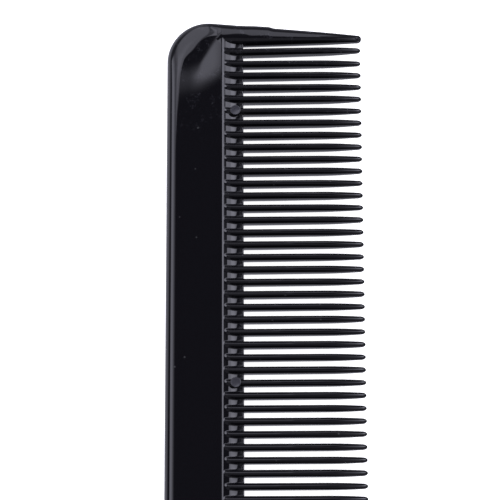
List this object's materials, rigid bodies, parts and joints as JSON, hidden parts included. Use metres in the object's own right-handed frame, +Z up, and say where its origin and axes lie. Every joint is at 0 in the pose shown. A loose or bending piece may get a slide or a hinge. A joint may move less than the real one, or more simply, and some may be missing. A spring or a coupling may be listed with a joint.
{
  "type": "rat tail comb",
  "caption": "Black moulded comb head with one row of fine, close-set teeth between two guard teeth, and a slim steel pin tail for parting hair.",
  "frame": {"origin": "under the middle of the comb's box, on the plane it lies on", "axes": "+X along the comb from the tail to the head end, teeth point to -Y, +Z up from the flat face it lies on"},
  "size_m": [0.2256, 0.0284, 0.0035],
  "materials": {
    "black_plastic": "glossy black moulded plastic with fine scuffs",
    "pin_steel": "drawn and polished stainless steel"
  },
  "bodies": {
    "root": {"comb_body": "black_plastic", "tail_pin": "pin_steel"}
  },
  "joints": []
}
